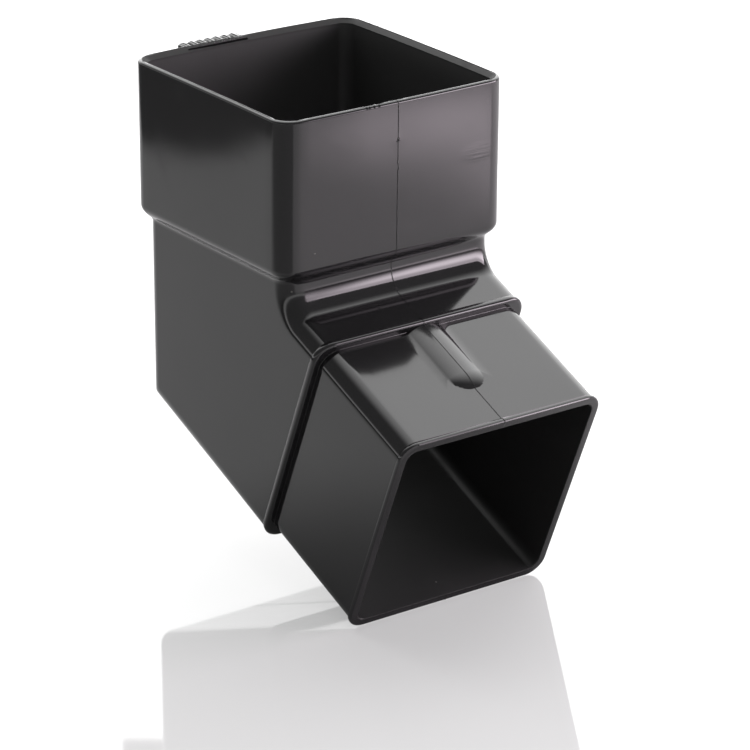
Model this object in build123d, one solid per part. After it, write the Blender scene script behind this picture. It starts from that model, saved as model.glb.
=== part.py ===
from build123d import *
from math import radians, tan
import os

# Downpipe offset bend for a square rainwater pipe, one injection moulding, in millimetres.
# The origin is the centre of the socket's rim. +Z points up the vertical pipe that enters
# the socket, and the slanted spigot leaves toward -Y and down.

# Pipe that the fitting joins
pipe_size = 65.0
pipe_clearance = 1.8

# Bend, whose front wall and slanted top meet at the throat's unrounded corner
turn_angle = 67.5
front_wall_drop = 7.3815
slanted_top_length = 14.3815

# Socket
socket_wall = 2.4
socket_depth = 42.4
socket_corner = 5.8
socket_draft = 0.4
rim_round = 0.45
rim_lead_in = 1.2

# Shoulder between socket and body
shoulder_step = 2.4
shoulder_slope = 2.5
shoulder_floor = 2.7
shoulder_outer_round = 3.4
shoulder_inner_round = 1.4

# Body
body_wall = 2.2
body_corner = 5.5
throat_radius = 7.5
heel_radius = 1.2

# Collar ring at the end of the body
collar_width = 2.7
collar_proud = 0.4
collar_crown = 1.2
collar_root = 0.5

# Spigot
spigot_length = 38.5
spigot_wall = 2.0
spigot_corner = 5.0
bore_taper = 4.0
lip_proud = 0.45
lip_width = 1.6
lip_round = 0.35
mouth_inner_round = 0.3

# Rounded rib on the spigot's upper face
rib_length = 24.6
rib_width = 11.2
rib_height = 1.3

# Fine ridge where the two mould halves met
ridge_width = 0.35
ridge_height = 0.12

# Marking pad on the back of the socket
pad_length = 19.4
pad_past_middle = 1.0
pad_drop = 9.0
pad_thickness = 3.6
pad_below_rim = 0.15
pad_corner = 1.0
pad_round = 0.5
pad_ribs = 7
pad_rib_width = 1.2
pad_rib_height = 1.5
pad_rib_round = 0.4
pad_rib_margin = 1.3

# Largest share of a ring's width that the rounding of one edge may take
edge_share = 0.45

# Small moulding nib on the back of the socket
nib_from_middle = 17.8
nib_radius = 2.0
nib_height = 0.7

# Sizes that follow from the ones above
socket_bore = pipe_size + 2 * pipe_clearance
socket_size = socket_bore + 2 * socket_wall
body_size = socket_size - 2 * shoulder_step
body_bore = body_size - 2 * body_wall
spigot_bore = pipe_size - 2 * spigot_wall
shoulder_depth = socket_depth + shoulder_floor - shoulder_slope
body_top = shoulder_depth + shoulder_slope
half_body_turn = body_size / 2 * tan(radians(turn_angle / 2))
axis_crossing_depth = body_top + front_wall_drop + half_body_turn
collar_reach = half_body_turn + slanted_top_length
collar_end = collar_reach + collar_width
mouth_reach = collar_end + spigot_length


def level(depth):
    """Horizontal plane at a depth below the rim, facing down."""
    return Plane(origin=(0, 0, -depth), x_dir=(1, 0, 0), z_dir=(0, 0, -1))


def along(reach):
    """Plane across the spigot, at a reach from the crossing of the two pipe axes.

    Its z runs down the spigot and its y toward the spigot's upper face.
    """
    down_spigot = Vector(0, -1, 0).rotate(Axis.X, 90 - turn_angle)
    crossing = Plane(origin=(0, 0, -axis_crossing_depth), x_dir=(1, 0, 0), z_dir=down_spigot)
    return crossing.offset(reach)


def square_bar(plane, size, corner, length):
    """Bar of rounded square section that starts on a plane."""
    return extrude(plane * RectangleRounded(size, size, corner), length)


def square_taper(near, near_size, near_corner, far, far_size, far_corner):
    """Solid between rounded squares on two planes."""
    near_face = near * RectangleRounded(near_size, near_size, near_corner)
    far_face = far * RectangleRounded(far_size, far_size, far_corner)
    return loft([near_face, far_face])


def edges_in(solid, plane):
    """Edges of a solid that lie whole in a plane."""
    return solid.edges().filter_by(
        lambda edge: all(abs(plane.to_local_coords(edge @ end).Z) < 0.01 for end in (0, 0.3, 1))
    )


def inner_edges(solid, plane):
    """Edges round the opening in the ring-shaped face that lies in a plane."""
    lying = edges_in(solid, plane)
    rings = [face for face in solid.faces() if face.inner_wires() and face.edges()[0] in lying]
    return rings[0].inner_wires()[0].edges()


def bent_bar(size, corner, throat, heel, top_depth, reach):
    """Bar of rounded square section that turns at a rounded throat and a crisp heel."""
    half = size / 2
    corner_drop = half * tan(radians(turn_angle / 2))
    throat_point = Vector(0, -half, -axis_crossing_depth + corner_drop)
    heel_point = Vector(0, half, -axis_crossing_depth - corner_drop)
    upper_end = along(reach).from_local_coords((0, half, 0))
    lower_end = along(reach).from_local_coords((0, -half, 0))
    outline = [
        Vector(0, half, -top_depth), heel_point, lower_end, upper_end, throat_point,
        Vector(0, -half, -top_depth),
    ]
    bar = extrude(make_face(Polyline(outline, close=True)), half, both=True, dir=(1, 0, 0))
    bar = fillet(bar.edges().filter_by(Axis.X).sort_by_distance(throat_point)[0], throat)
    upright = bar.edges().filter_by(Axis.Z)
    curved = bar.edges().filter_by(GeomType.CIRCLE)
    slanted = bar.edges().filter_by(lambda edge: abs((edge % 0.5).dot(along(0).z_dir)) > 0.99)
    bar = fillet(upright + curved + slanted, corner)
    return fillet(bar.edges().filter_by(Axis.X).sort_by_distance(heel_point)[0], heel)


def socket_outside(grow):
    """Outer form of the socket and its rounded shoulder down to the body's width."""
    wide = socket_size + 2 * grow
    narrow = body_size + 2 * grow
    socket = square_bar(level(0), wide, socket_corner, shoulder_depth)
    slope = square_taper(
        level(shoulder_depth), wide, socket_corner, level(body_top), narrow, body_corner
    )
    neck = square_bar(level(body_top), narrow, body_corner, 2 * shoulder_inner_round)
    outside = socket + slope + neck
    outside = fillet(edges_in(outside, level(shoulder_depth)), shoulder_outer_round)
    outside = fillet(edges_in(outside, level(body_top)), shoulder_inner_round)
    return fillet(edges_in(outside, level(0)), rim_round)


def collar(grow):
    """Rounded ring that closes the body, against which the next socket's rim can rest."""
    size = body_size + 2 * (collar_proud + grow)
    ring = square_bar(along(collar_reach), size, body_corner + collar_proud, collar_width)
    far_edges = edges_in(ring, along(collar_end))
    near_edges = edges_in(ring, along(collar_reach))
    return fillet(far_edges + near_edges, min(collar_crown, edge_share * collar_width))


def spigot_outside(grow):
    """Spigot bar with a slight rounded lip round its open end."""
    size = pipe_size + 2 * grow
    bar = square_bar(along(collar_reach), size, spigot_corner, collar_width + spigot_length)
    lip_start = along(mouth_reach - lip_width)
    lip_size = size + 2 * lip_proud
    lip = square_bar(lip_start, lip_size, spigot_corner + lip_proud, lip_width)
    lip = fillet(edges_in(lip, lip_start) + edges_in(lip, along(mouth_reach)), lip_round)
    return bar + lip


def spigot_rib(grow):
    """Low rounded rib on the spigot's upper face, from the collar to a rounded tip."""
    crown_radius = ((rib_width / 2) ** 2 + rib_height**2) / (2 * rib_height)
    crown_middle = pipe_size / 2 + grow + rib_height - crown_radius
    above_face = Pos(0, pipe_size / 2 + rib_height / 2) * Rectangle(rib_width, 3 * rib_height)
    section = Pos(0, crown_middle) * Circle(crown_radius) & above_face
    start = along(collar_end - collar_width / 2)
    straight = rib_length + collar_width / 2 - rib_width / 2
    bar = extrude(start * section, straight)
    half_section = section & Pos(rib_width / 2, pipe_size / 2) * Rectangle(rib_width, rib_width)
    tip_plane = start.offset(straight)
    tip = revolve(tip_plane * half_section, Axis(tip_plane.origin, tip_plane.y_dir))
    return bar + tip


def back_of_socket():
    """Plane on the outside of the socket's back wall, facing out, with its y upward."""
    return Plane(origin=(0, socket_size / 2, 0), x_dir=(-1, 0, 0), z_dir=(0, 1, 0))


def marking_pad():
    """Raised pad near the rim, with plain upright ribs where a maker's marking would be."""
    middle = Pos(pad_length / 2 - pad_past_middle, -pad_below_rim - pad_drop / 2)
    root = back_of_socket().offset(-socket_wall / 2)
    pad_face = back_of_socket().offset(pad_thickness)
    rib_face = pad_face.offset(pad_rib_height)
    slab_outline = RectangleRounded(pad_length, pad_drop, pad_corner)
    slab = extrude(root * middle * slab_outline, socket_wall / 2 + pad_thickness)
    slab = fillet(edges_in(slab, pad_face), pad_round)
    rib_pitch = (pad_length - 2 * pad_rib_margin - pad_rib_width) / (pad_ribs - 1)
    rib_outline = Rectangle(pad_rib_width, pad_drop - 2 * pad_rib_margin)
    row = Sketch() + GridLocations(rib_pitch, 0, pad_ribs, 1) * rib_outline
    ribs = extrude(root * middle * row, socket_wall / 2 + pad_thickness + pad_rib_height)
    ribs = fillet(edges_in(ribs, rib_face), pad_rib_round)
    return slab + ribs


def moulding_nib():
    """Low round nib near the rim, on the back of the socket."""
    sphere_radius = (nib_radius**2 + nib_height**2) / (2 * nib_height)
    spot = Pos(-nib_from_middle, -pad_below_rim - nib_radius)
    cap = back_of_socket() * spot * Pos(0, 0, nib_height - sphere_radius) * Sphere(sphere_radius)
    root = back_of_socket().offset(-socket_wall / 2)
    return cap & extrude(root * spot * Circle(nib_radius), socket_wall / 2 + nib_height)


def spigot_and_collar(grow):
    """Collar ring and spigot together, with a small hollow round where they meet."""
    joined = collar(grow) + spigot_outside(grow)
    joined = fillet(inner_edges(joined, along(collar_end)), collar_root)
    return joined + spigot_rib(grow)


def outside_form(grow=0):
    """Outer form from rim to mouth, grown all round by a little if asked."""
    body = bent_bar(
        body_size + 2 * grow, body_corner, throat_radius - grow, heel_radius, body_top,
        collar_end - collar_crown
    )
    return socket_outside(grow) + body + spigot_and_collar(grow)


def waterway(grow=0):
    """The hollow: drafted socket, pipe stop, bent passage and the narrower spigot bore."""
    rim_size = socket_bore + 2 * grow
    stop_size = rim_size - 2 * socket_depth * tan(radians(socket_draft))
    passage_size = body_bore + 2 * grow
    bore_size = spigot_bore + 2 * grow
    socket_bore_corner = socket_corner - socket_wall
    passage_corner = body_corner - body_wall
    bore_corner = spigot_corner - spigot_wall
    socket = square_taper(
        level(0), rim_size, socket_bore_corner, level(socket_depth), stop_size, socket_bore_corner
    )
    passage = bent_bar(
        passage_size, passage_corner, throat_radius + body_wall, heel_radius, socket_depth, collar_reach
    )
    taper_end = collar_reach + bore_taper
    taper = square_taper(
        along(collar_reach), passage_size, passage_corner, along(taper_end), bore_size, bore_corner
    )
    bore = square_bar(along(taper_end), bore_size, bore_corner, mouth_reach - taper_end)
    return socket + passage + taper + bore


def parting_ridge():
    """Fine ridge round the middle plane, a thin slice of the outer form grown a little."""
    everywhere = 4 * (mouth_reach + axis_crossing_depth)
    thin_slice = Box(ridge_width, everywhere, everywhere)
    return (outside_form(ridge_height) & thin_slice) - waterway(spigot_wall / 2)


def offset_bend():
    """The complete moulding, hollow from the socket's rim to the spigot's mouth."""
    shell = outside_form() - waterway()
    shell = chamfer(inner_edges(shell, level(0)), rim_lead_in)
    shell = fillet(inner_edges(shell, along(mouth_reach)), mouth_inner_round)
    return shell + marking_pad() + moulding_nib() + parting_ridge()


if __name__ == "__main__":
    os.makedirs("parts", exist_ok=True)
    export_step(offset_bend(), "parts/offset_bend.step")
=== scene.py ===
import bmesh
import bpy
from math import atan2, cos, pi, radians, sin, tan
from mathutils import Euler, Matrix, Vector


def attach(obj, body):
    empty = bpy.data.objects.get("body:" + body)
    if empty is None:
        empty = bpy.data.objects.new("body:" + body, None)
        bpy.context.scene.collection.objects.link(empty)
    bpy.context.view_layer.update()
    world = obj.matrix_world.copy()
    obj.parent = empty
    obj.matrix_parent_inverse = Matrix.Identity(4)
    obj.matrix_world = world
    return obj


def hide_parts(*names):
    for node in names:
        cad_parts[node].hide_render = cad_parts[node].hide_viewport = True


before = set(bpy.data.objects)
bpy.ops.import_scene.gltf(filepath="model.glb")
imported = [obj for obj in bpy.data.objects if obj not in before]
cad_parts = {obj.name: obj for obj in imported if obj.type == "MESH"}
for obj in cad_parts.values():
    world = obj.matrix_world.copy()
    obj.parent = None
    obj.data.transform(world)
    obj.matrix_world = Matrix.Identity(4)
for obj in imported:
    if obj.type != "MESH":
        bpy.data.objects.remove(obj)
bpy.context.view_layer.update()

# Camera
# A long lens stands a metre away, to the left of the spigot's mouth and a little above the
# rim, turned by a hair to match the slight tilt of the picture.
tilt_down, turn_right, roll = 21.555, 35.859, 0.189
camera_turn = Euler((radians(90 - tilt_down), 0, radians(-turn_right))).to_matrix()
camera_roll = Matrix.Rotation(radians(roll), 3, "Z")
bpy.ops.object.select_all(action="DESELECT")
bpy.ops.object.camera_add(location=(-0.56177, -0.80426, 0.29809))
camera = bpy.context.object
camera.name = "camera"
camera.rotation_euler = (camera_turn @ camera_roll).to_euler()
camera.data.sensor_width = 36
camera.data.lens = 181.51
bpy.context.scene.camera = camera

# Outer skin of the bend
# The fitting is one injection moulding in PVC-U. The block of the bent body comes first: an
# upright bar cut off on the mitre, drawn out down the spigot's slope, with the throat, the
# lengthwise corners and the crisp heel rounded after.
turn = radians(67.5)
rise = 0.0754
crossing = Vector((0, 0, -rise))
down_spigot = Vector((0, -sin(turn), -cos(turn)))
off_spigot = Vector((0, -cos(turn), sin(turn)))
mitre_normal = (Vector((0, 0, -1)) + down_spigot).normalized()
body_half = 0.0343
bar_length = 0.2
throat_steps, corner_steps, heel_steps = 10, 8, 3
slack = 1e-5


def choose(kind, wanted):
    """Selects, in edit mode, the corners, edges or faces that pass a test."""
    bpy.ops.object.mode_set(mode="EDIT")
    bpy.ops.mesh.select_mode(type=kind)
    bpy.ops.mesh.select_all(action="DESELECT")
    shape = bmesh.from_edit_mesh(bpy.context.object.data)
    items = {"VERT": shape.verts, "EDGE": shape.edges, "FACE": shape.faces}[kind]
    for item in [item for item in items if wanted(item)]:
        item.select_set(True)
    shape.select_flush_mode()
    bmesh.update_edit_mesh(bpy.context.object.data)


def middle(item):
    """Middle of an edge or face."""
    return sum((corner.co for corner in item.verts), Vector()) / len(item.verts)


def reach_of(point):
    """How far down the spigot's axis a point lies from the crossing of the two axes."""
    return (point - crossing).dot(down_spigot)


def beyond_mitre(point):
    """Distance of a point past the mitre plane, on the spigot's side."""
    return (point - crossing).dot(mitre_normal)


def bent_block(name, half, corner, throat, heel, top, reach):
    """Open-ended bent bar of rounded square section, from a height to a reach."""
    bpy.ops.object.select_all(action="DESELECT")
    bpy.ops.mesh.primitive_cube_add(size=1, location=(0, 0, top - bar_length / 2),
                                    scale=(2 * half, 2 * half, bar_length))
    block = bpy.context.object
    block.name = name
    bpy.ops.object.transform_apply(location=True, rotation=True, scale=True)
    bpy.ops.object.mode_set(mode="EDIT")
    bpy.ops.mesh.select_all(action="SELECT")
    bpy.ops.mesh.bisect(plane_co=crossing, plane_no=mitre_normal, use_fill=True, clear_outer=True)
    choose("FACE", lambda face: abs(beyond_mitre(middle(face))) < slack)
    bpy.ops.mesh.extrude_region_move(TRANSFORM_OT_translate={"value": down_spigot * bar_length})
    bpy.ops.mesh.select_all(action="SELECT")
    end = crossing + down_spigot * reach
    bpy.ops.mesh.bisect(plane_co=end, plane_no=down_spigot, use_fill=False, clear_outer=True)
    choose("FACE", lambda face: abs(middle(face).z - top) < slack)
    bpy.ops.mesh.delete(type="FACE")
    choose("EDGE", lambda edge: abs(abs(middle(edge).x) - half) < slack
           and all(abs(beyond_mitre(corner.co)) < slack for corner in edge.verts))
    bpy.ops.mesh.dissolve_edges(use_verts=False)
    drop = half * tan(turn / 2)
    throat_point = Vector((0, -half, crossing.z + drop))
    choose("EDGE", lambda edge: (middle(edge) - throat_point).length < slack)
    bpy.ops.mesh.bevel(offset=throat * tan(turn / 2), segments=throat_steps, affect="EDGES",
                       clamp_overlap=False)
    choose("EDGE", lambda edge: len(edge.link_faces) == 2
           and all(abs(abs(corner.co.x) - half) < slack for corner in edge.verts)
           and abs(edge.verts[0].co.x - edge.verts[1].co.x) < slack)
    bpy.ops.mesh.bevel(offset=corner, segments=corner_steps, affect="EDGES", clamp_overlap=False)
    choose("EDGE", lambda edge: all(
        abs(beyond_mitre(point.co)) < 2 * slack and point.co.y > half - corner - slack
        for point in edge.verts))
    bpy.ops.mesh.bevel(offset=heel * tan(turn / 2), segments=heel_steps, affect="EDGES", clamp_overlap=False)
    bpy.ops.mesh.select_all(action="DESELECT")
    return block


def stretch_ring(move, scale, about):
    """Draws the chosen ring of edges out by a move, then resizes it about a point."""
    bpy.ops.mesh.extrude_region_move(TRANSFORM_OT_translate={"value": move})
    bpy.ops.transform.resize(value=(scale, scale, scale), center_override=about)


def draw_rings(rings, start, half, direction):
    """Draws the open end out through rings, each a distance along an axis and a half width."""
    for distance, new_half in rings:
        about = crossing + direction * distance
        stretch_ring(about - start, new_half / half, about)
        start, half = about, new_half


up = Vector((0, 0, 1))
socket_half = 0.0367
shoulder_low = -0.0451 + rise
shoulder_high = -0.0426 + rise
slope = atan2(socket_half - body_half, shoulder_high - shoulder_low)
hollow_round = 0.0026
crown_round = 0.0034
hollow_start = shoulder_low - hollow_round * tan(slope / 2)
crown_end = shoulder_high + crown_round * tan(slope / 2)
collar_start, collar_stop = 0.0370, 0.0393

outer = bent_block("offset_bend_moulding", body_half, corner=0.0055, throat=0.0075, heel=0.0012,
                   top=hollow_start - rise, reach=collar_start)
choose("EDGE", lambda edge: len(edge.link_faces) == 1
       and abs(middle(edge).z - (hollow_start - rise)) < slack)
shoulder = [(hollow_start + hollow_round * sin(a), body_half + hollow_round * (1 - cos(a)))
            for a in [slope * i / 6 for i in range(1, 7)]]
shoulder += [(crown_end - crown_round * sin(a), socket_half - crown_round * (1 - cos(a)))
             for a in [slope * i / 6 for i in range(6, -1, -1)]]
rim_round = 0.0008
wall_rows = [(crown_end + (rise - rim_round - crown_end) * i / 8, socket_half) for i in range(1, 9)]
rim = [(rise - rim_round + rim_round * sin(a), socket_half - rim_round * (1 - cos(a)))
       for a in [pi / 2 * i / 6 for i in range(1, 7)]]
draw_rings(shoulder + wall_rows + rim, crossing + up * hollow_start, body_half, up)

collar_half = 0.0347
collar_round = 0.0010
spigot_half = 0.0325
mouth = 0.0785
choose("EDGE", lambda edge: len(edge.link_faces) == 1
       and abs(reach_of(middle(edge)) - collar_start) < slack)
collar = [(0.0371, 0.03437), (0.0373, 0.03450), (0.0376, 0.03462), (0.0380, 0.03468),
          (0.0383, collar_half)]
collar += [(collar_stop - collar_round + collar_round * sin(a), collar_half - collar_round * (1 - cos(a)))
           for a in [radians(d) for d in (0, 18, 36, 54, 72, 90)]]
root_round = 0.00012
collar += [(collar_stop, spigot_half + root_round + 0.0003)]
collar += [(collar_stop + root_round - root_round * cos(a), spigot_half + root_round * (1 - sin(a)))
           for a in [radians(d) for d in (0, 30, 60, 90)]]
lip_half = 0.03295
lip_round = 0.0006
lip_start = mouth - 0.0016
root_end, last_row = collar_stop + root_round, lip_start - 0.0002
spigot_rows = [(root_end + (last_row - root_end) * i / 8, spigot_half) for i in range(1, 9)]
lip = [(lip_start + lip_round * (1 - cos(a)), lip_half - lip_round * (1 - sin(a)))
       for a in [radians(d) for d in (0, 30, 60, 90)]]
lip += [(mouth - lip_round * (1 - sin(a)), lip_half - lip_round * (1 - cos(a)))
        for a in [radians(d) for d in (0, 30, 60, 90)]]
draw_rings(collar + spigot_rows + lip, crossing + down_spigot * collar_start, body_half, down_spigot)
bpy.ops.object.mode_set(mode="OBJECT")


def add(kind, values=(), **settings):
    """Places a node in the tree in hand, with its settings and its plain socket values."""
    node = nodes.new(kind)
    for name, value in settings.items():
        setattr(node, name, value)
    for name, value in dict(values).items():
        node.inputs[name].default_value = value
    return node


def tree_of(owner):
    """Switches on the nodes of a material or a world, and gives its nodes and its links."""
    owner.use_nodes = True
    return owner.node_tree.nodes, owner.node_tree.links


# Marks that the moulding has all over: smears from handling, the slow waves of the cooled wall,
# and specks of dust.
moulded = bpy.data.node_groups.new("moulded_skin", "ShaderNodeTree")
moulded.interface.new_socket("Place", in_out="INPUT", socket_type="NodeSocketVector")
for name in ("Smear Scale", "Wave Scale", "Speck Scale"):
    moulded.interface.new_socket(name, in_out="INPUT", socket_type="NodeSocketFloat")
for name in ("Smears", "Waves", "Specks"):
    moulded.interface.new_socket(name, in_out="OUTPUT", socket_type="NodeSocketFloat")
nodes, links = moulded.nodes, moulded.links
given = add("NodeGroupInput")
result = add("NodeGroupOutput")
smear = add("ShaderNodeTexNoise", {"Detail": 5, "Roughness": 0.6, "Distortion": 0.6})
links.new(given.outputs["Place"], smear.inputs["Vector"])
links.new(given.outputs["Smear Scale"], smear.inputs["Scale"])
smear_mask = add("ShaderNodeMapRange", {"From Min": 0.48, "From Max": 0.72}, interpolation_type="SMOOTHSTEP")
links.new(smear.outputs["Fac"], smear_mask.inputs["Value"])
links.new(smear_mask.outputs["Result"], result.inputs["Smears"])
wave = add("ShaderNodeTexNoise", {"Detail": 1, "Roughness": 0.4})
links.new(given.outputs["Place"], wave.inputs["Vector"])
links.new(given.outputs["Wave Scale"], wave.inputs["Scale"])
links.new(wave.outputs["Fac"], result.inputs["Waves"])
dust = add("ShaderNodeTexVoronoi", {"Randomness": 1})
links.new(given.outputs["Place"], dust.inputs["Vector"])
links.new(given.outputs["Speck Scale"], dust.inputs["Scale"])
small = add("ShaderNodeMath", {1: 0.05}, operation="LESS_THAN")
links.new(dust.outputs["Distance"], small.inputs[0])
apart = add("ShaderNodeSeparateColor")
links.new(dust.outputs["Color"], apart.inputs["Color"])
rare = add("ShaderNodeMath", {1: 0.9}, operation="GREATER_THAN")
links.new(apart.outputs["Red"], rare.inputs[0])
speck = add("ShaderNodeMath", operation="MULTIPLY")
links.new(small.outputs["Value"], speck.inputs[0])
links.new(rare.outputs["Value"], speck.inputs[1])
links.new(speck.outputs["Value"], result.inputs["Specks"])


def plastic_finish(name, colour, dusty, dull, smeared, smear_scale, wave_scale, wave_height, speck_scale):
    """Black moulded PVC: its colour, dust, gloss where clean and where smeared, and waves."""
    global nodes, links
    finish = bpy.data.materials.new(name)
    nodes, links = tree_of(finish)
    shader = nodes["Principled BSDF"]
    shader.inputs["IOR"].default_value = 1.5
    place = add("ShaderNodeTexCoord")
    skin = add("ShaderNodeGroup", node_tree=moulded)
    links.new(place.outputs["Object"], skin.inputs["Place"])
    for socket, scale in (("Smear Scale", smear_scale), ("Wave Scale", wave_scale),
                          ("Speck Scale", speck_scale)):
        skin.inputs[socket].default_value = scale
    tint = add("ShaderNodeMix", data_type="RGBA")
    tint.inputs["A"].default_value = colour
    tint.inputs["B"].default_value = dusty
    links.new(skin.outputs["Specks"], tint.inputs["Factor"])
    links.new(tint.outputs["Result"], shader.inputs["Base Color"])
    gloss = add("ShaderNodeMapRange", {"To Min": dull, "To Max": smeared})
    links.new(skin.outputs["Smears"], gloss.inputs["Value"])
    links.new(gloss.outputs["Result"], shader.inputs["Roughness"])
    relief = add("ShaderNodeBump", {"Strength": 1, "Distance": wave_height})
    links.new(skin.outputs["Waves"], relief.inputs["Height"])
    links.new(relief.outputs["Normal"], shader.inputs["Normal"])
    return finish


outside_finish = plastic_finish(
    "black_pvc", (0.0085, 0.0082, 0.0088, 1), (0.12, 0.12, 0.11, 1), dull=0.075, smeared=0.16,
    smear_scale=48, wave_scale=26, wave_height=0.00022, speck_scale=190)

# Faint drag marks lie on the right of the socket's front wall only, in a flat oval patch.
nodes, links = tree_of(outside_finish)
place = add("ShaderNodeTexCoord")
patch_middle, patch_scale = (0.0272, -0.0372, -0.0193), (125, 125, 300)
patch = add("ShaderNodeMapping", {"Location": [-p * q for p, q in zip(patch_middle, patch_scale)],
                                  "Scale": patch_scale})
links.new(place.outputs["Object"], patch.inputs["Vector"])
near = add("ShaderNodeVectorMath", operation="LENGTH")
links.new(patch.outputs["Vector"], near.inputs[0])
near_mask = add("ShaderNodeMapRange", {"From Min": 1.0, "From Max": 0.3}, interpolation_type="SMOOTHSTEP")
links.new(near.outputs["Value"], near_mask.inputs["Value"])
drag = add("ShaderNodeMapping", {"Scale": (90, 90, 1600), "Rotation": (0, radians(-6), 0)})
links.new(place.outputs["Object"], drag.inputs["Vector"])
streaks = add("ShaderNodeTexNoise", {"Scale": 1, "Detail": 2, "Roughness": 0.5})
links.new(drag.outputs["Vector"], streaks.inputs["Vector"])
streak_height = add("ShaderNodeMath", operation="MULTIPLY")
links.new(near_mask.outputs["Result"], streak_height.inputs[0])
links.new(streaks.outputs["Fac"], streak_height.inputs[1])
streak_relief = add("ShaderNodeBump", {"Strength": 1, "Distance": 0.000028})
links.new(streak_height.outputs["Value"], streak_relief.inputs["Height"])
links.new(nodes["Bump"].outputs["Normal"], streak_relief.inputs["Normal"])
links.new(streak_relief.outputs["Normal"], nodes["Principled BSDF"].inputs["Normal"])
outer.data.materials.append(outside_finish)

# Inner skin of the bend
# The socket's bore narrows a little to the stop where the pipe ends, then the passage bends
# with the body and tapers into the thinner spigot.
stop_level = -0.0424 + rise
stop_half = 0.034004
bore_half = 0.0343
passage_half = 0.0321
inner = bent_block("bore", passage_half, corner=0.0033, throat=0.0097, heel=0.0012,
                   top=stop_level - rise, reach=collar_start)
choose("EDGE", lambda edge: len(edge.link_faces) == 1
       and abs(middle(edge).z - (stop_level - rise)) < slack)
socket_bore = [(stop_level, stop_half)]
lead_in = 0.0012
bore_depth, bore_flare = rise - lead_in - stop_level, bore_half - stop_half
socket_bore += [(stop_level + bore_depth * i / 8, stop_half + bore_flare * i / 8) for i in range(1, 9)]
inner_dip = 0.00005
socket_bore += [(rise - 0.00012 - inner_dip, bore_half + lead_in - 0.00016),
                (rise - inner_dip, bore_half + lead_in)]
draw_rings(socket_bore, crossing + up * stop_level, passage_half, up)
choose("EDGE", lambda edge: len(edge.link_faces) == 1
       and abs(reach_of(middle(edge)) - collar_start) < slack)
spigot_bore_half = 0.0305
spigot_bore = [(0.0413, spigot_bore_half), (mouth - 0.0003, spigot_bore_half), (mouth - 0.0001, 0.0306),
               (mouth - inner_dip, 0.0308)]
draw_rings(spigot_bore, crossing + down_spigot * collar_start, passage_half, down_spigot)
bpy.ops.object.mode_set(mode="OBJECT")
inside_finish = plastic_finish(
    "black_pvc_core_side", (0.034, 0.034, 0.034, 1), (0.12, 0.12, 0.11, 1), dull=0.48, smeared=0.56,
    smear_scale=60, wave_scale=40, wave_height=0.0002, speck_scale=190)

# The socket's inner walls are painted lighter, a painted light, and are darker down in the passage; their
# top edge is painted darker, a painted shade.
nodes, links = tree_of(inside_finish)
place = add("ShaderNodeTexCoord")
height = add("ShaderNodeSeparateXYZ")
links.new(place.outputs["Object"], height.inputs["Vector"])
painted_light_on_walls = add("ShaderNodeMapRange", {"From Min": -0.060, "From Max": -0.036, "To Min": 0.009,
                                         "To Max": 0.034}, interpolation_type="SMOOTHSTEP")
links.new(height.outputs["Z"], painted_light_on_walls.inputs["Value"])
painted_shade_on_edge = add("ShaderNodeMapRange", {"From Min": -0.0020, "From Max": -0.0010, "To Min": 1,
                                        "To Max": 0.2})
links.new(height.outputs["Z"], painted_shade_on_edge.inputs["Value"])
painted_wall_tone = add("ShaderNodeMath", operation="MULTIPLY")
links.new(painted_light_on_walls.outputs["Result"], painted_wall_tone.inputs[0])
links.new(painted_shade_on_edge.outputs["Result"], painted_wall_tone.inputs[1])
# Painted light on the inner walls and painted shade on their edge set the base colour by height.
links.new(painted_wall_tone.outputs["Value"], nodes["Mix"].inputs["A"])
inner.data.materials.append(inside_finish)
inside = inner.vertex_groups.new(name="inside")
inside.add([corner.index for corner in inner.data.vertices], 1, "REPLACE")

# The two skins become one, closed over the rim and round the mouth.
bpy.ops.object.select_all(action="DESELECT")
inner.select_set(True)
outer.select_set(True)
bpy.context.view_layer.objects.active = outer
bpy.ops.object.join()
choose("EDGE", lambda edge: len(edge.link_faces) == 1 and middle(edge).z > -0.001)
bpy.ops.mesh.bridge_edge_loops()
choose("EDGE", lambda edge: len(edge.link_faces) == 1 and reach_of(middle(edge)) > mouth - 0.001)
bpy.ops.mesh.bridge_edge_loops()
bpy.ops.mesh.select_all(action="SELECT")
bpy.ops.mesh.remove_doubles(threshold=1e-6)
bpy.ops.mesh.normals_make_consistent(inside=False)
bpy.ops.object.mode_set(mode="OBJECT")

# Cuts across the walls, and the bows that the walls took as they cooled
# No moulded wall stays flat. The socket's back wall bulges most, and the left one is drawn in.
bow_spread = 0.036
bow_cuts = [step * 0.004 for step in range(-7, 8)]
for x in bow_cuts:
    choose("FACE", lambda face: True)
    bpy.ops.mesh.bisect(plane_co=(x, 0, 0), plane_no=(1, 0, 0), threshold=1e-6)
for y in bow_cuts:
    choose("FACE", lambda face: middle(face).z > -0.0425)
    bpy.ops.mesh.bisect(plane_co=(0, y, 0), plane_no=(0, 1, 0), threshold=1e-6)


def bow(wall, move):
    """Pushes the middle of a wall out from near the rim down, with the rest following smoothly."""
    choose("VERT", lambda corner: corner.co.z > -0.008 and wall(corner.co))
    bpy.ops.transform.translate(
        value=move, use_proportional_edit=True, proportional_edit_falloff="SMOOTH",
        proportional_size=bow_spread, use_proportional_connected=False, use_proportional_projected=False)


bow(lambda place: abs(place.y) < 0.009 and place.x < -0.03, (0.00033, 0, 0))
bow(lambda place: abs(place.y) < 0.009 and place.x > 0.03, (0.00057, 0, 0))
bow(lambda place: abs(place.x) < 0.009 and place.y > 0.03, (0, 0.0011, 0))
bow(lambda place: abs(place.x) < 0.009 and place.y < -0.03, (0, -0.0005, 0))
bpy.ops.object.mode_set(mode="OBJECT")

# Rib on the spigot's upper face
# A low rounded rib runs from the collar down the middle of the face to a rounded tip. It is
# moulded with the spigot, so its skin is welded onto the outer one.


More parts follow.
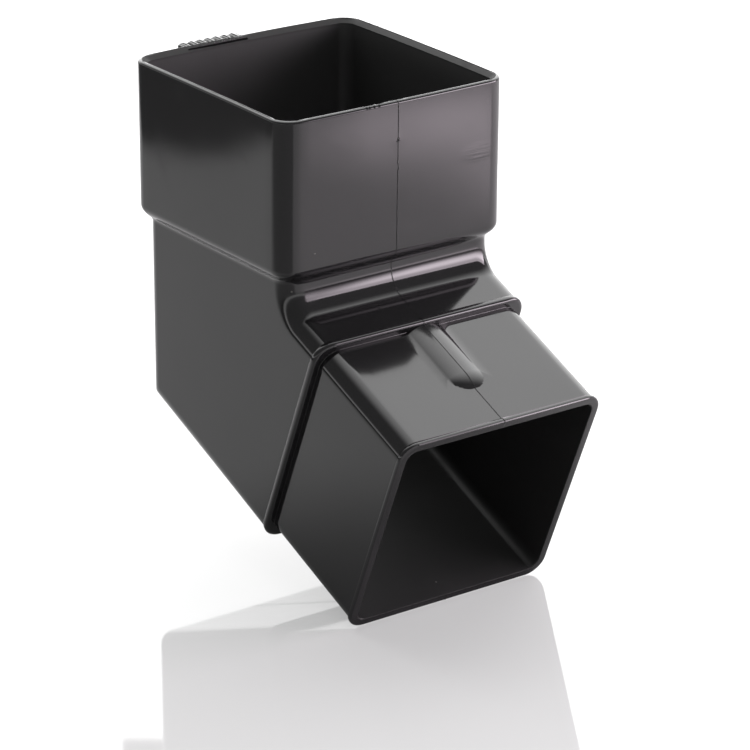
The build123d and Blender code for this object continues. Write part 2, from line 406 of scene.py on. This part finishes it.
def weld(tool, onto):
    """Joins a shape onto the moulding, so that the two become one closed skin."""
    bpy.ops.object.mode_set(mode="OBJECT")
    tool.data.materials.append(outside_finish)
    bpy.ops.object.select_all(action="DESELECT")
    onto.select_set(True)
    bpy.context.view_layer.objects.active = onto
    bpy.ops.object.modifier_add(type="BOOLEAN")
    joint = onto.modifiers[-1]
    joint.operation, joint.solver, joint.object = "UNION", "EXACT", tool
    bpy.ops.object.modifier_apply(modifier=joint.name)
    bpy.data.objects.remove(tool)


rib_reach = 0.0590
rib_crown = 0.0127
rib_height = 0.0013
rib_length = 0.0205
rib_middle = crossing + down_spigot * rib_reach + off_spigot * (spigot_half + rib_height - rib_crown)
bpy.ops.object.select_all(action="DESELECT")
bpy.ops.mesh.primitive_uv_sphere_add(segments=96, ring_count=96, radius=rib_crown, location=rib_middle,
                                     rotation=(pi - turn, 0, 0))
rib = bpy.context.object
rib.name = "rib"
bpy.ops.object.transform_apply(location=True, rotation=True, scale=True)
choose("VERT", lambda corner: (corner.co - rib_middle).dot(down_spigot) < -slack)
bpy.ops.transform.translate(value=down_spigot * -rib_length)
bpy.ops.mesh.select_all(action="SELECT")
rib_foot = crossing + off_spigot * (spigot_half - 0.001)
bpy.ops.mesh.bisect(plane_co=rib_foot, plane_no=off_spigot, use_fill=True, clear_inner=True)
bpy.ops.mesh.select_all(action="SELECT")
rib_start = crossing + down_spigot * (collar_stop - 0.0012)
bpy.ops.mesh.bisect(plane_co=rib_start, plane_no=down_spigot, use_fill=True, clear_inner=True)
bpy.ops.mesh.select_all(action="SELECT")
bpy.ops.mesh.normals_make_consistent(inside=False)
weld(rib, outer)

# Parting ridge
# The two mould halves met on the middle plane and left a fine raised line all round the outside.
# On the socket's front the line has a knot and a few wiggles, and the rim has small nicks.
ridge_half, ridge_height = 0.000175, 0.00012
for x in (-ridge_half, 0, ridge_half):
    choose("FACE", lambda face: True)
    bpy.ops.mesh.bisect(plane_co=(x, 0, 0), plane_no=(1, 0, 0), threshold=1e-6)
inside_group = outer.vertex_groups["inside"].index
weights = bmesh.from_edit_mesh(outer.data).verts.layers.deform.active
choose("VERT", lambda corner: abs(corner.co.x) < 1e-6
       and corner[weights].get(inside_group, 0) < 0.5)
bpy.ops.transform.shrink_fatten(value=ridge_height)
ridge_levels = [-0.0099, -0.0105, -0.0110, -0.0116, -0.0162, -0.0170, -0.0178, -0.0186, -0.0194, -0.0202]
for level in ridge_levels:
    choose("FACE", lambda face: abs(middle(face).x) < 0.0004 and middle(face).y < -0.03
           and middle(face).z > -0.04)
    bpy.ops.mesh.bisect(plane_co=(0, 0, level), plane_no=(0, 0, 1), threshold=1e-6)
knot = ((-0.0105, (0, -0.00012, 0), 3.2), (-0.0110, (-0.00012, -0.00016, 0), 4.0))
wiggles = ((-0.0170, (-0.00018, 0, 0), 1.0), (-0.0178, (0.00012, -0.00004, 0), 1.5),
           (-0.0186, (0.00024, 0, 0), 1.0), (-0.0194, (-0.00008, 0, 0), 1.3))
for level, move, widen in knot + wiggles:
    choose("VERT", lambda corner: abs(corner.co.x) < 0.0004 and corner.co.y < -0.0365
           and abs(corner.co.z - level) < 0.00005)
    bpy.ops.transform.translate(value=move)
    bpy.ops.transform.resize(value=(widen, 1, 1), center_override=(move[0], 0, level))
nicks = ((-0.0101, 0.0003), (-0.0093, 0.0004), (-0.0077, 0.0003), (-0.0062, 0.0004))
for x, half in nicks:
    for cut in (x - half, x, x + half):
        choose("FACE", lambda face: middle(face).z > -0.001 and middle(face).y < -0.0345)
        bpy.ops.mesh.bisect(plane_co=(cut, 0, 0), plane_no=(1, 0, 0), threshold=1e-6)
    choose("VERT", lambda corner: abs(corner.co.x - x) < 0.00005 and corner.co.z > -0.0004
           and -0.0375 < corner.co.y < -0.0357)
    bpy.ops.transform.translate(value=(0, 0.00012, -0.0002))
bpy.ops.object.mode_set(mode="OBJECT")

# Marking pad and nib on the back of the socket
# A raised pad with seven plain upright ribs stands on the outside of the back wall, moulded with
# it. A small round nib beside it swells out of the wall, just under the rim.
pad_back = 0.0367
pad_ribs, pad_pitch = 7, 0.0027
bpy.ops.object.select_all(action="DESELECT")
bpy.ops.mesh.primitive_cube_add(size=1, location=(-0.0085, pad_back + 0.0017, -0.004775),
                                scale=(0.0198, 0.0056, 0.00875))
pad = bpy.context.object
pad.name = "pad"
bpy.ops.object.transform_apply(location=True, rotation=True, scale=True)
choose("EDGE", lambda edge: middle(edge).y > pad_back + 0.003
       or abs(edge.verts[0].co.y - edge.verts[1].co.y) > 0.001)
bpy.ops.mesh.bevel(offset=0.0005, segments=3, affect="EDGES")
weld(pad, outer)
for step in range(pad_ribs):
    bpy.ops.object.select_all(action="DESELECT")
    bpy.ops.mesh.primitive_cube_add(
        size=1, location=(-0.0087 + (step - 3) * pad_pitch, pad_back + 0.0023, -0.0040),
        scale=(0.0026, 0.0056, 0.0077))
    pad_rib = bpy.context.object
    bpy.ops.object.transform_apply(location=True, rotation=True, scale=True)
    choose("EDGE", lambda edge: middle(edge).y > pad_back + 0.0045
           or middle(edge).z > -0.0003 and abs(edge.verts[0].co.y - edge.verts[1].co.y) > 0.001)
    bpy.ops.mesh.bevel(offset=0.0011, segments=5, affect="EDGES")
    weld(pad_rib, outer)
nib_x, nib_z, nib_swell, nib_half = 0.0178, -0.0025, 0.0012, 0.0025
choose("FACE", lambda face: middle(face).y > pad_back - 0.0001 and abs(middle(face).x - nib_x) < 0.0055
       and -0.011 < middle(face).z < -0.0009 and face.normal.y > 0.9)
bpy.ops.mesh.subdivide(number_cuts=9)
choose("VERT", lambda corner: corner.co.y > pad_back - 0.0001 and abs(corner.co.x - nib_x) < 0.0003
       and abs(corner.co.z - nib_z) < 0.0003)
bpy.ops.transform.translate(
    value=(0, nib_swell, 0), use_proportional_edit=True, proportional_edit_falloff="SPHERE",
    proportional_size=nib_half, use_proportional_connected=True, use_proportional_projected=False)

# Shading of the whole moulding
# The mould's flats are flat and its roundings run smoothly into them, so the large faces lead the
# shading and only the steep steps stay sharp.
bpy.ops.object.mode_set(mode="OBJECT")
bpy.ops.object.select_all(action="DESELECT")
outer.select_set(True)
bpy.context.view_layer.objects.active = outer
bpy.ops.object.shade_smooth_by_angle(angle=radians(28))
bpy.ops.object.modifier_add(type="WEIGHTED_NORMAL")
outer.modifiers[-1].keep_sharp = True
bpy.ops.object.modifier_apply(modifier=outer.modifiers[-1].name)

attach(outer, "root")
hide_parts("offset_bend")

# Floor
# The bend stands on the lower edge of its mouth, on a glossy white table. What the moulding
# mirrors of the table is painted: a painted shade toward the camera and far behind on the left,
# painted shadows close to the moulding, and a painted pool of light, a glow, at the front right.
bpy.ops.object.select_all(action="DESELECT")
bpy.ops.mesh.primitive_plane_add(size=12, location=(0, 0, -0.13589))
floor = bpy.context.object
floor.name = "floor"
white = bpy.data.materials.new("white_floor")
nodes, links = tree_of(white)
table_top = nodes["Principled BSDF"]
table_top.inputs["Base Color"].default_value = (0.32, 0.32, 0.32, 1)
table_top.inputs["Roughness"].default_value = 0.04
table_top.inputs["Emission Color"].default_value = (1, 1, 1, 1)
table_top.inputs["Emission Strength"].default_value = 0.37
place = add("ShaderNodeTexCoord")


def smooth_ramp(value, start, stop, low, high):
    """Value that goes smoothly from low to high, while another goes from start to stop."""
    ramp = add("ShaderNodeMapRange", {"From Min": start, "From Max": stop, "To Min": low, "To Max": high},
               interpolation_type="SMOOTHSTEP")
    links.new(value, ramp.inputs["Value"])
    return ramp.outputs["Result"]


def fade(source, direction, start, stop, low=0, high=1):
    """Value that goes smoothly from low to high along a direction, between two distances."""
    along = add("ShaderNodeVectorMath", {1: direction}, operation="DOT_PRODUCT")
    links.new(source, along.inputs[0])
    return smooth_ramp(along.outputs["Value"], start, stop, low, high)


def spot_fade(source, spot, near, away, strength):
    """Value that falls smoothly from a strength to 0 round a spot, between two distances."""
    distance = add("ShaderNodeVectorMath", {1: spot}, operation="DISTANCE")
    links.new(source, distance.inputs[0])
    return smooth_ramp(distance.outputs["Value"], near, away, strength, 0)


def combine(operation, first, second):
    """Math on two values, each a node output or a number."""
    maths = add("ShaderNodeMath", operation=operation)
    for socket, value in zip(maths.inputs, (first, second)):
        if isinstance(value, (int, float)):
            socket.default_value = value
        else:
            links.new(value, socket)
    return maths.outputs["Value"]


def mix_by(factor, first, second):
    """Shader that goes from a first one to a second by a factor."""
    mixed = add("ShaderNodeMixShader")
    for socket, source in zip(mixed.inputs, (factor, first, second)):
        links.new(source, socket)
    return mixed.outputs["Shader"]


table = place.outputs["Object"]
# Painted shade on the table toward the camera and far behind on the left, and painted shadows under the
# mouth and the body, seen only in the moulding's reflections.
painted_shade_leftward = fade(table, (-0.985, 0.174, 0), 0.02, 0.08)
painted_shade_frontward = fade(table, (-0.743, -0.669, 0), 0.04, 0.20)
painted_front_shade = combine("MULTIPLY", combine("MINIMUM", painted_shade_leftward, painted_shade_frontward), 0.68)
painted_back_shade = fade(table, (-0.586, 0.810, 0), 0.380, 0.412)
painted_mouth_shadow = spot_fade(table, (0.02, -0.085, 0), 0.02, 0.06, 0.6)
painted_body_shadow = spot_fade(table, (-0.06, -0.05, 0), 0.02, 0.11, 0.5)
painted_shade_mask = combine("MAXIMUM", combine("MAXIMUM", painted_front_shade, painted_back_shade),
               combine("MAXIMUM", painted_mouth_shadow, painted_body_shadow))
mirrored = add("ShaderNodeBsdfDiffuse", {"Color": (0.69, 0.69, 0.69, 1)})
painted_shade_floor = add("ShaderNodeBsdfDiffuse", {"Color": (0.12, 0.12, 0.12, 1)})
# A painted pool of light: the table glows at the front right where the moulding mirrors it.
painted_light_pool = add("ShaderNodeEmission", {"Color": (1, 0.86, 0.95, 1)})
links.new(spot_fade(table, (0.258, -0.335, 0), 0, 0.115, 2.9), painted_light_pool.inputs["Strength"])
floor_with_painted_pool = add("ShaderNodeAddShader")
links.new(mirrored.outputs["BSDF"], floor_with_painted_pool.inputs[0])
links.new(painted_light_pool.outputs["Emission"], floor_with_painted_pool.inputs[1])
rays = add("ShaderNodeLightPath")
surface = mix_by(rays.outputs["Is Camera Ray"], mix_by(painted_shade_mask, floor_with_painted_pool.outputs["Shader"], painted_shade_floor.outputs["BSDF"]),
                 table_top.outputs["BSDF"])
links.new(surface, nodes["Material Output"].inputs["Surface"])
floor.data.materials.append(white)

# Studio
# A large soft window stands high behind the moulding, with a pale strip low all round. The camera
# sees plain white instead.
world = bpy.data.worlds.new("studio")
bpy.context.scene.world = world
nodes, links = tree_of(world)
room = nodes["Background"]
room.inputs["Color"].default_value = (1, 1, 1, 1)
place = add("ShaderNodeTexCoord")
window = fade(place.outputs["Generated"], (0.40, 0.62, 0.675), 0.52, 0.96, low=0.3, high=3.5)
skyline = fade(place.outputs["Generated"], (0, 0, 1), 0.17, 0.06, high=1.5)
links.new(combine("ADD", window, skyline), room.inputs["Strength"])
rays = add("ShaderNodeLightPath")
plain = add("ShaderNodeBackground", {"Color": (1, 1, 1, 1), "Strength": 1.0})
backdrop = mix_by(rays.outputs["Is Camera Ray"], room.outputs["Background"], plain.outputs["Background"])
links.new(backdrop, nodes["World Output"].inputs["Surface"])

# Softbox
# It stands on the table at the front right, strongest across its lower half and fading to its
# foot and its left end. The camera doesn't see it.
bpy.ops.object.select_all(action="DESELECT")
bpy.ops.mesh.primitive_plane_add(size=1, location=(0.4605, -0.3850, 0.065),
                                 rotation=(radians(90), 0, radians(52)))
softbox = bpy.context.object
softbox.name = "softbox"
softbox.scale = (0.54, 0.4, 1)
softbox.visible_camera = False
glow = bpy.data.materials.new("softbox_glow")
nodes, links = tree_of(glow)
nodes.remove(nodes["Principled BSDF"])
shine = add("ShaderNodeEmission", {"Color": (1, 0.89, 0.97, 1)})
place = add("ShaderNodeTexCoord")
across = fade(place.outputs["Object"], (1, 0, 0), -0.42, -0.33, low=0.3)
lower = fade(place.outputs["Object"], (0, 1, 0), 0.10, 0.35, low=13, high=7)
foot = fade(place.outputs["Object"], (0, 1, 0), -0.45, 0.05, low=0.05)
links.new(combine("MULTIPLY", combine("MULTIPLY", across, lower), foot), shine.inputs["Strength"])
links.new(shine.outputs["Emission"], nodes["Material Output"].inputs["Surface"])
softbox.data.materials.append(glow)

# Black flag
# A small black card behind and above the rim keeps the window off the rim's flat and the pad's
# top, so that only their rounded edges catch a thin line of light.
bpy.ops.object.select_all(action="DESELECT")
bpy.ops.mesh.primitive_plane_add(size=1, location=(0.136, 0.1885, 0.092),
                                 rotation=(radians(111.5), 0, radians(-35.9)))
flag = bpy.context.object
flag.name = "flag"
flag.scale = (0.15, 0.075, 1)
flag.visible_camera = flag.visible_diffuse = flag.visible_shadow = False
flag_cloth = bpy.data.materials.new("flag_cloth")
nodes, links = tree_of(flag_cloth)
nodes["Principled BSDF"].inputs["Base Color"].default_value = (0.02, 0.02, 0.02, 1)
nodes["Principled BSDF"].inputs["Roughness"].default_value = 1
flag.data.materials.append(flag_cloth)
bpy.context.scene.view_settings.view_transform = "Standard"
